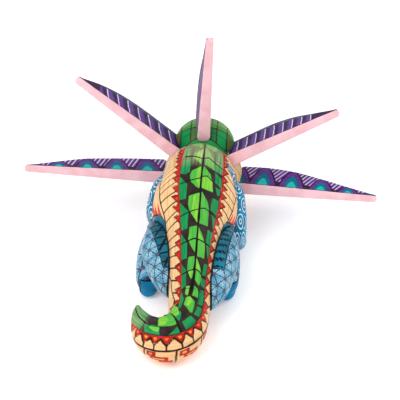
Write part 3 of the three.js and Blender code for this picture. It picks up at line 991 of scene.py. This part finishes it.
def head_paint(points, pegs):
    x, y, z = points.T
    at = SKULL["at"]
    mirrored = abs(x - at[0])
    column, from_column = nearest_line(mirrored, COLUMNS)
    rise = np.arctan2(z - at[2], np.maximum(at[1] - y, 0) + 0.01)
    over = np.where(y < at[1], DOME_RADIUS * rise, DOME_RADIUS * math.pi / 2 + y - at[1])
    row, from_row = nearest_line(over, ROWS)
    floor_z = np.interp(y, *CROWN_EDGE)
    crown = either(inside(17 - mirrored, z - 50), z - floor_z)
    plates = inside(np.minimum(from_column + 4 * (column == 0), from_row) - 0.5, crown - 0.8)
    collar_z = 72.3 - 0.042 * mirrored**2
    above = np.where(y < 88, z - collar_z, 9)
    plates = inside(plates, above - 2.7)
    pale = (row == 3) | ((row > 3) & ((row + column) % 2 == 0))
    olive = (row <= 2) & ((column >= 3) | ((column == 1) & (x < at[0])))
    bright = (row == 2) & (column == 2)
    place = np.stack([mirrored, y, z], axis=1)
    eye = np.linalg.norm(place - EYE, axis=1)
    throat = -crown - CHEEK_DEPTH
    lip = abs(z - MOUTH["z"])
    turned = np.degrees(np.arctan2(mirrored, z - 43))
    drilled = either(*[PEG_RADIUS + SKIN - away_from_line(points, *ends) for ends in pegs])
    core = np.linalg.norm((points - np.array([at[0], 92, 50])) / np.array([24, 40, 22]), axis=1)
    return {
        "along": turned / 3,
        "across": y,
        "crown": crown,
        "plates": plates,
        "pale_plates": np.where(pale, plates, OTHER_PLATES),
        "olive_plates": np.where(olive, plates, OTHER_PLATES),
        "bright_plates": np.where(bright, plates, OTHER_PLATES),
        "collar": inside(outline(above, 1.9), crown - 0.5),
        "red_edge": between(-crown, 0.2, 3.0),
        "cheek_barbs": count_lines(y + 0.5 * (z - floor_z), range(40, 180, 9)),
        "cheek": between(-crown, 3, CHEEK_DEPTH),
        "cheek_edge": outline(throat, 0.45),
        "throat": throat,
        "throat_rows": y / 8,
        **{ring: radius - eye for ring, radius in EYE_RINGS.items()},
        "glint": 0.8 - np.linalg.norm(place - EYE - GLINT, axis=1),
        "lips": inside(2.6 - lip, y - MOUTH["from"] + 1),
        "gums": inside(MOUTH["height"] / 2 + 0.05 - lip, y - MOUTH["from"] - 1),
        "nostrils": 1.5 - np.linalg.norm(place - NOSTRIL_HOLE, axis=1),
        "bare": either(inside(drilled, 1 - core), NECK_PLANE + 0.6 - y),
    }


def away_from_line(points, start, end):
    start, end = np.asarray(start, float), np.asarray(end, float)
    axis = unit(end - start)
    gone = points - start
    return np.linalg.norm(gone - (gone @ axis)[:, None] * axis, axis=1)


def make_head(piece, pegs):
    mouth = block((-FAR, MOUTH["from"], MOUTH["z"] - MOUTH["height"] / 2),
                  (FAR, FAR, MOUTH["z"] + MOUTH["height"] / 2))
    neck = block((-FAR, -FAR, -FAR), (FAR, NECK_PLANE + GAP, FAR))
    sockets = [rod_hole(ends, PEG_RADIUS) for ends in pegs]
    cut(piece, [neck, mouth] + dowel_holes("head") + sockets)
    store(piece, head_paint(coordinates(piece.data), pegs))
    paint = Paint("head_paint", CREAM, PEACH)
    paint.area("throat", "EBA15F", "E08246")
    paint.ruled("throat_rows", 0.12, RED, "throat")
    paint.ruled("cheek_barbs", 0.08, SEPIA, "cheek")
    paint.area("cheek_edge", SEPIA)
    paint.daub("red_edge", RED, ORANGE)
    paint.daub("crown", "1B2A1A", "3A2C1C")
    paint.area("plates", "15803C", "0B6430")
    paint.daub("olive_plates", "3E6E34", "5E5C34")
    paint.area("pale_plates", "6CA350", "3F8238")
    paint.area("bright_plates", "069048", "08743A")
    paint.daub("collar", "0C8440", "25924A")
    paint.daub("lips", RED, CRIMSON)
    paint.area("gums", "5A1512")
    paint.area("socket", BLACK, wobble=0.3)
    paint.area("iris", YELLOW, "F19A35", wobble=0.3)
    paint.area("white", "F7F3E8", wobble=0.3)
    paint.area("pupil", BLACK, wobble=0.3)
    paint.area("glint", "FFFFFF", wobble=0.1)
    paint.area("nostrils", BLACK, wobble=0.4)
    paint.area("bare", *WOOD)
    hand_over(piece, "head", paint.varnish())


# ---- Legs ----

ROUND_ENDS = 2.6
SHANK_UP = (0, 1, 0.2)
LIMB_VOXEL = 0.6
LIMB_GIRTH = 88  # the pattern's run once round a leg
NET_PITCH = LIMB_GIRTH / 11
# How far out the plain dark zone beside the trunk reaches, as (x at the middle, y of the middle, its lean).
DEEP_ZONES = {"hind_leg_left": (-31.5, -8, 0.35), "hind_leg_right": (22.3, -8, 0.11)}
SQUARE, SQUARE_PITCH = 2.9, 6.0
NOWHERE = -9.0
SEAM = 1.5  # how far from the trunk the dark line round a hind leg's joint reaches
FOOT_TOP, FOOT_FROM, TOE_ROW = 8.5, -6, 3
CLAW_TOP, CLAWS_FROM = 7, 10.5
HEEL = {"behind": -13, "top": 15.5, "inner": 12, "outer": 40}


def toes(instep, outwards):
    made = []
    for angle in TOE_ANGLES:
        turned = math.radians(angle) * outwards
        stations = []
        for length, drop, radius in ((-3, 0, TOE_RADIUS), (TOE_LENGTH / 2, 0.5, TOE_RADIUS)):
            stations.append([*toe_place(instep, turned, length), instep[2] - drop, radius, radius, 0])
        stations.append([*toe_place(instep, turned, TOE_LENGTH), 1.6, 1.4, 1.6, 0])
        made.append(Form(stations, step=0.8).mesh("toe"))
    return made


def toe_place(instep, turned, length):
    return instep[0] + length * math.sin(turned), instep[1] + length * math.cos(turned)


def limb_paint(points, name, forms, trunk_depth):
    """The leg's painted shapes. Its pattern is wrapped round the upper limb's axis."""
    start, end = np.array(forms["upper"][0][:3], float), np.array(forms["upper"][-1][:3], float)
    outwards = math.copysign(1, start[0])
    axis = unit(end - start)
    outer = unit(np.array([outwards, 0, 0]) - axis * axis[0] * outwards)
    top = np.cross(axis, outer) * (1 if np.cross(axis, outer)[2] > 0 else -1)
    gone = points - start
    along = gone @ axis
    angle = np.arctan2(gone @ (outer * 0.75 + top * 0.66), gone @ (top * 0.75 - outer * 0.66))
    across = angle / (2 * math.pi) * LIMB_GIRTH
    x, y, z = points.T
    toe_run = y - forms["foot"][-1][1]
    foot = inside(FOOT_TOP - z, toe_run - FOOT_FROM)
    claws = inside(toe_run - CLAWS_FROM, CLAW_TOP - z)
    layers = {
        "along": along,
        "across": across,
        "foot": foot,
        "foot_edge": outline(foot, 0.4),
        "claws": claws,
        "claw_edge": outline(claws, 0.35),
        "toe_rows": toe_run / TOE_ROW,
    }
    if name not in DEEP_ZONES:
        layers["arcs"] = lattice(across, 0.8 * along, 12)[1] / 2.6 + 0.4
        return layers
    lines, node = lattice(across, along, NET_PITCH)
    limit, middle, lean = DEEP_ZONES[name]
    deep = inside(outwards * (limit - x) + lean * (y - middle), z - 9, y + 34)
    square_y = outline(np.mod(y, SQUARE_PITCH) - SQUARE_PITCH / 2, SQUARE / 2)
    squares = inside(deep - 0.8, square_y, np.mod(y + 1.5 * x, 4.1) - 0.9)
    side = outwards * x
    heel = inside(HEEL["behind"] - y, HEEL["top"] - z, between(side, HEEL["inner"], HEEL["outer"]))
    return {
        **layers,
        **lines,
        "ray_reach": 0.5 * NET_PITCH - node,
        "dots": 0.5 - node,
        "deep": deep,
        "deep_edge": outline(deep, 0.4),
        "squares": squares if name == "hind_leg_right" else NOWHERE,
        "bold": deep - 0.6 if name == "hind_leg_left" else NOWHERE,
        "seam": SEAM - trunk_depth,
        "heel": heel,
        "heel_edge": outline(heel + 0.4, 0.5),
    }


def make_limb(name, forms, trunk_cutter, tail_cutter):
    bodies = [
        Form(forms["upper"], ROUND_ENDS, step=COARSE).mesh("upper"),
        Form(forms["lower"], ROUND_ENDS, up=SHANK_UP, step=COARSE).mesh("lower"),
        Form(forms["foot"], step=COARSE).mesh("foot"),
    ]
    bodies += toes(forms["foot"][-1], math.copysign(1, forms["foot"][0][0]))
    piece = fuse(name, bodies, LIMB_VOXEL, SOFTENING)
    ground = block((-FAR, -FAR, -FAR), (FAR, FAR, 0))
    cut(piece, [grown_copy(trunk_cutter, 0), grown_copy(tail_cutter, 0), ground] + dowel_holes(name))
    points = coordinates(piece.data)
    store(piece, limb_paint(points, name, forms, trunk_shape.locate(points)[2]))
    if name in DEEP_ZONES:
        paint = Paint(name + "_paint", "9CC8DA", "4791B4", streaks=(0.12, 0.12))
        for k in range(3):
            paint.ruled("ray_%d" % k, 0.12, "174A66", "ray_reach", soft=0.05, wobble=0.15, strength=0.8)
        for k in range(3):
            paint.ruled("net_%d" % k, 0.09, "0A1A28", soft=0.03, wobble=0.15)
        paint.area("dots", "9C4A78", wobble=0.3)
        paint.daub("deep", *DEEP_TEAL)
        for k in (0, 2):
            paint.ruled("net_%d" % k, 0.2, BLACK, "bold", soft=0.03, wobble=0.15)
        paint.daub("squares", "06131C", "0B2A3A", wobble=0.7)
        paint.area("deep_edge", "0B2634")
        paint.daub("seam", "0A0F12", "15303C")
        paint.daub("heel", "0A7FAE", "06648F")
        paint.area("heel_edge", BLACK)
    else:
        base = ("1B7A9C", "0C5676") if name == "front_leg_left" else ("1F86AC", "0B5E84")
        paint = Paint(name + "_paint", *base, streaks=(0.12, 0.12))
        paint.ruled("arcs", 0.2, "E4F3FA", soft=0.05, wobble=0.6)
    paint.area("foot", "1C78A8", "0F5C90")
    paint.ruled("toe_rows", 0.16, "BFE3F5", "foot", soft=0.06)
    paint.area("foot_edge", BLACK)
    paint.area("claws", CREAM, "F6E7C8")
    paint.area("claw_edge", BLACK)
    hand_over(piece, name, paint.varnish())


# ---- Crest feathers ----

# Where the eyes of the lower feathers stand along them.
EYES = {"lower_left": (-8, 14, 37.5, 60, 81.5, 99), "lower_right": (-3, 17, 39, 61.5, 82, 98)}
# Each layer of an eye, as (layer, half width at the root, narrowing along the feather, share of its width).
ARCHES = (("arches", 11.5, 0.03, 0.97), ("rings", 7.2, 0.02, 0.7), ("cores", 4.6, 0.012, 0.4))
HATCH_LEAN, HATCH_PITCH = {"lower_left": 0.3, "lower_right": -0.55}, 3.5
STRIPES = {"upper_left": (-0.26, 9.7), "upper_right": (0, 7.7), "centre": (-0.3, 8.5)}  # as (lean, pitch)
REAR_ROUND, FRONT_ROUND = 1.1, 2.4  # how far in from each edge the board starts to thin
ROOT_ROUND, END_ROUND = 5, 2.2
CORNER = 1.5
TIP_SHARE = 0.97  # of the length, up to where the tip is rounded
FAR_EDGE = 0.82  # of the width, from where the upper feathers' faces are painted grey
CAP_FROM = 0.8  # of the length, from where they are dark
STRIPE_INSET = 1.6


def feather_axes(feather):
    out = unit(feather["along"])
    across = unit(np.array([0, 1, 0]) - out * out[1])
    turn = math.radians(feather["drop"])
    across = across * math.cos(turn) + np.cross(out, across) * math.sin(turn)
    return out, across, np.cross(out, across)


def feather_width(feather, u):
    """How far the front edge is from the rear edge's line."""
    widths, length = feather["widths"], feather["length"]
    places = np.linspace(0, TIP_SHARE * length, len(widths))
    knots = np.stack([places, widths, np.zeros(len(widths))], axis=1)
    curve = spline(knots, np.linspace(0, 1, 200))
    width = np.interp(u, curve[:, 0], curve[:, 1])
    return np.where(u < 0, widths[0] + np.minimum(u, 0) * 2 / ROOT_INSET, width)


def feather_outline(feather, u):
    """The rear and front edges' places across the board, with the corners and the tip rounded."""
    length, tip = feather["length"], feather["widths"][-1]
    at_tip = np.clip((u - TIP_SHARE * length) / ((1 - TIP_SHARE) * length), 0, 1)
    closing = tip / 2 * (1 - np.sqrt(1 - at_tip**2))
    from_root = np.clip(u + ROOT_INSET, 0, CORNER)
    corner = CORNER - np.sqrt(CORNER**2 - (CORNER - from_root) ** 2)
    return corner + closing, feather_width(feather, u) - 0.5 * corner - closing


def feather_board(feather):
    """Two sheets with a common rim, so that the board is flat with softly rounded edges."""
    length = feather["length"]
    angles = np.linspace(0, math.pi / 2, 9)[:-1]
    rim, rise = 1 - np.sqrt(np.cos(angles)), np.sqrt(np.sin(angles))
    u_root = -ROOT_INSET + ROOT_ROUND * (1 - np.cos(angles))
    u_tip = length - END_ROUND * (1 - np.cos(angles[::-1]))
    u_middle = np.arange(ROOT_ROUND - ROOT_INSET, length - END_ROUND, 0.5)
    u = np.concatenate([u_root, u_middle, u_tip])
    rise_u = np.concatenate([np.sin(angles), np.ones(len(u_middle)), np.sin(angles[::-1])])
    middles = 46
    low, high = feather_outline(feather, u)
    rear = np.minimum(REAR_ROUND, 0.4 * (high - low))
    front = np.minimum(FRONT_ROUND, 0.4 * (high - low))
    share = (np.arange(middles) + 0.5) / middles
    columns = [low[:, None] + rear[:, None] * rim]
    columns.append((low + rear)[:, None] + (high - front - low - rear)[:, None] * share)
    columns.append(high[:, None] - front[:, None] * rim[::-1])
    v = np.hstack(columns)
    rise_v = np.concatenate([rise, np.ones(middles), rise[::-1]])
    taper = 1 - FEATHER_TAPER * np.maximum(u, 0) / length
    half = FEATHER_THICKNESS / 2 * taper[:, None] * rise_u[:, None] * rise_v
    out, across, through = feather_axes(feather)
    flat = np.array(feather["root"]) + u[:, None, None] * out + v[..., None] * across
    above, below = flat + half[..., None] * through, flat - half[..., None] * through
    rows, cols = v.shape
    upper = np.arange(rows * cols).reshape(rows, cols)
    lower = upper + rows * cols
    on_rim = np.zeros((rows, cols), bool)
    on_rim[[0, -1]] = True
    on_rim[:, [0, -1]] = True
    lower[on_rim] = upper[on_rim]
    faces = []
    for sheet in (upper, lower[:, ::-1]):
        corners = [sheet[:-1, :-1], sheet[1:, :-1], sheet[1:, 1:], sheet[:-1, 1:]]
        faces += np.stack(corners, axis=-1).reshape(-1, 4).tolist()
    return weld(np.vstack([above.reshape(-1, 3), below.reshape(-1, 3)]), faces)


def weld(points, faces):
    """A closed mesh with coinciding vertices merged and empty faces left out."""
    keys, first, merged = np.unique(np.round(points, 4), axis=0, return_index=True, return_inverse=True)
    merged = merged.ravel()
    kept = []
    for face in faces:
        corners = list(dict.fromkeys(int(merged[v]) for v in face))
        if len(corners) > 2:
            kept.append(tuple(corners))
    used = np.unique([v for face in kept for v in face])
    number = np.full(len(keys), -1)
    number[used] = np.arange(len(used))
    return mesh_object("feather", points[first][used], [tuple(int(number[v]) for v in face) for face in kept])


def arch(x, y, half, height):
    """A pointed arch standing on y = 0."""
    rising = half * np.sqrt(np.clip(1 - y / height, 0, 1)) - abs(x)
    return np.where(y < height, rising, height - y - abs(x))


def feather_paint(name, feather, points, peg):
    out, across, through = feather_axes(feather)
    gone = points - np.array(feather["root"])
    u, v, t = gone @ out, gone @ across, gone @ through
    low = feather_outline(feather, np.clip(u, -ROOT_INSET, feather["length"]))[0]
    width = feather_width(feather, u)
    inwards = v - low
    layers = {
        "along": u,
        "across": v + 0.3 * t,
        "pink": REAR_ROUND + 0.15 - inwards,
        "pink_edge": between(inwards, REAR_ROUND, REAR_ROUND + 1.1),
        "bare": inside(PEG_RADIUS + SKIN - away_from_line(points, *peg), PEG_IN_FEATHER + 1 - u),
        "far_edge": v - FAR_EDGE * width,
    }
    if name in EYES:
        for layer, half, narrowing, height in ARCHES:
            heights = height * np.interp(EYES[name], u_knots(feather), feather["widths"])
            shapes = [arch(u - e, v, half - narrowing * e, rise) for e, rise in zip(EYES[name], heights)]
            layers[layer] = either(*shapes)
        layers["ring_edges"] = outline(layers["rings"], 0.35)
        layers["between"] = inside(-layers["arches"] - 0.7, v - 0.3 * width)
        layers["arches"] -= 0.8
        layers["hatch"] = (u + HATCH_LEAN[name] * v) / HATCH_PITCH
    else:
        lean, pitch = STRIPES[name]
        layers["stripes"] = (u + lean * v + 0.004 * v * v) / pitch
        layers["stripe_reach"] = inside(inwards - STRIPE_INSET, 0.8 * width - v)
        layers["broad"] = layers["stripes"] + 0.27
        layers["cap"] = inside(u - CAP_FROM * feather["length"], inwards - STRIPE_INSET)
    return layers


def u_knots(feather):
    return np.linspace(0, TIP_SHARE * feather["length"], len(feather["widths"]))


def feather_material(name):
    if name in EYES:
        paint = Paint(name + "_feather_paint", "331A38", "1E1024")
        paint.area("between", "64398A", "42245C")
        paint.ruled("hatch", 0.26, "D6C6E8", "between", soft=0.08)
        paint.area("arches", "6C3296", "4E2474")
        paint.area("ring_edges", "120818")
        paint.area("rings", "067088", "05566E")
        paint.area("cores", "12BDB4", "0AA0A4")
    else:
        paint = Paint(name + "_feather_paint", "3A1F4C", "28143A")
        paint.ruled("broad", 0.42, "5E3A8A", "stripe_reach", soft=0.14)
        paint.ruled("stripes", 0.1, "D8CAEC", "stripe_reach", soft=0.035)
        paint.daub("far_edge", "5F7374", "45405C", strength=0.75)
        paint.area("cap", "34184A", "241034")
    paint.area("pink_edge", "2E1426", strength=0.85)
    paint.daub("pink", "EDC0C7", "E2B0B8")
    paint.area("bare", *WOOD)
    return paint.varnish(shine=(0.5, 0.65), gloss=0.08)


def peg_ends(feather):
    out, across, _ = feather_axes(feather)
    seat = np.array(feather["root"]) + 0.4 * feather["widths"][0] * across
    return seat - PEG_IN_HEAD * out, seat + PEG_IN_FEATHER * out


def make_feather(name, feather, head_cutter):
    piece = feather_board(feather)
    ends = peg_ends(feather)
    cut(piece, [grown_copy(head_cutter, GAP), rod_hole(ends, PEG_RADIUS)])
    store(piece, feather_paint(name, feather, coordinates(piece.data), ends))
    hand_over(piece, "crest_feather_" + name, feather_material(name))


# ---- Pegs and dowels ----


def wood_material(name, axis):
    """Straight-grained bare wood whose fibres run along the axis."""
    wood = Finish(name)
    upright = Vector(axis).rotation_difference(Vector((0, 0, 1))).to_euler()
    turned = wood.add("Mapping", {"Vector": wood.place, "Rotation": upright})
    fibres = wood.add("Mapping", {"Vector": turned, "Scale": (1, 1, 0.08)})
    grain = wood.noise(fibres, 1400, 5)
    top = wood.mixed("B0865A", "E6CBA0", wood.spread(grain, 0.35, 0.62))
    return wood.done(top, 0.72, 0.5, grain, 0.15)


def make_dowel(node, ends, radius):
    start, end = (np.asarray(p, float) for p in ends)
    length = np.linalg.norm(end - start)
    near = 0.25 * radius / length  # the chamfer's share of the length
    steps = ((0, 0.72), (near, 0.97), (0.25, 1), (0.5, 0.985), (0.75, 1), (1 - near, 0.97), (1, 0.72))
    piece = lathe(node, start, end, [(share, radius * size) for share, size in steps], 60, facets=0.035)
    hand_over(piece, node, wood_material(node + "_wood", unit(end - start)))


# ---- Assembly ----

trunk_shape = trunk_form()
make_trunk(trunk_shape)
make_tail(tail_form())

trunk_cutter = trunk_form(step=COARSE, grow=GAP).mesh("trunk_cutter")
tail_cutter = tail_form(step=COARSE, grow=GAP).mesh("tail_cutter")
for limb_name, limb_forms in LIMBS.items():
    make_limb(limb_name, limb_forms, trunk_cutter, tail_cutter)
bpy.data.objects.remove(trunk_cutter)
bpy.data.objects.remove(tail_cutter)

skin = head_skin()
for feather_name, feather_sizes in FEATHERS.items():
    make_feather(feather_name, feather_sizes, skin)
make_head(skin, [peg_ends(feather_sizes) for feather_sizes in FEATHERS.values()])

for dowel_name, dowel_sizes in DOWELS.items():
    make_dowel(dowel_name, dowel_sizes["ends"], dowel_sizes["radius"])
for feather_name, feather_sizes in FEATHERS.items():
    make_dowel("crest_peg_" + feather_name, peg_ends(feather_sizes), PEG_RADIUS)

# ---- Floor, lights and camera ----


FLOOR_HALF = 2.5
# Each soft light as (name, place, power, size).
LIGHTS = (("key_light", (-0.45, -0.5, 0.9), 5, 0.7), ("fill_light", (0.7, 0.2, 0.8), 2.5, 0.8))
BACKDROP_STRENGTH = 0.93


def make_floor():
    corners = [(x * FLOOR_HALF, y * FLOOR_HALF, 0) for x, y in ((-1, -1), (1, -1), (1, 1), (-1, 1))]
    floor = mesh_object("floor", corners, [(0, 1, 2, 3)])
    material = bpy.data.materials.new("floor_paper")
    material.use_nodes = True
    shader = material.node_tree.nodes["Principled BSDF"]
    shader.inputs["Base Color"].default_value = (0.93, 0.93, 0.93, 1)
    shader.inputs["Roughness"].default_value = 0.9
    shader.inputs["Emission Color"].default_value = (1, 1, 1, 1)
    shader.inputs["Emission Strength"].default_value = 0.2
    floor.data.materials.append(material)
    floor.location.z = -0.2 * MM


def add_softbox(name, position, power, size):
    """A square area light, turned towards the figure."""
    light = bpy.data.lights.new(name, "AREA")
    light.energy = power
    light.size = size
    lamp = add_object(name, light)
    lamp.location = position
    lamp.rotation_euler = (Vector((0, 0, 0.05)) - lamp.location).to_track_quat("-Z", "Y").to_euler()


def make_lights():
    world = bpy.data.worlds.new("studio")
    world.use_nodes = True
    backdrop = world.node_tree.nodes["Background"]
    backdrop.inputs["Color"].default_value = (1, 1, 1, 1)
    backdrop.inputs["Strength"].default_value = BACKDROP_STRENGTH
    bpy.context.scene.world = world
    for light in LIGHTS:
        add_softbox(*light)


CAMERA_AZIMUTH, CAMERA_ELEVATION = 4, 35
CAMERA_DISTANCE = 0.8
CAMERA_TARGET = Vector((0, 9, 66)) * MM  # in the design frame
CAMERA_LENS, CAMERA_SENSOR = 102.96, 36


def make_camera():
    azimuth, elevation = math.radians(CAMERA_AZIMUTH), math.radians(CAMERA_ELEVATION)
    level = Vector((math.sin(azimuth), -math.cos(azimuth), 0)) * math.cos(elevation)
    backwards = level + Vector((0, 0, math.sin(elevation)))
    camera = bpy.data.cameras.new("camera")
    camera.lens = CAMERA_LENS
    camera.sensor_width = CAMERA_SENSOR
    holder = add_object("camera", camera)
    holder.location = OFFSET + CAMERA_TARGET + backwards * CAMERA_DISTANCE
    holder.rotation_euler = backwards.to_track_quat("Z", "Y").to_euler()
    bpy.context.scene.camera = holder


make_floor()
make_lights()
make_camera()
bpy.context.scene.view_settings.view_transform = "Standard"
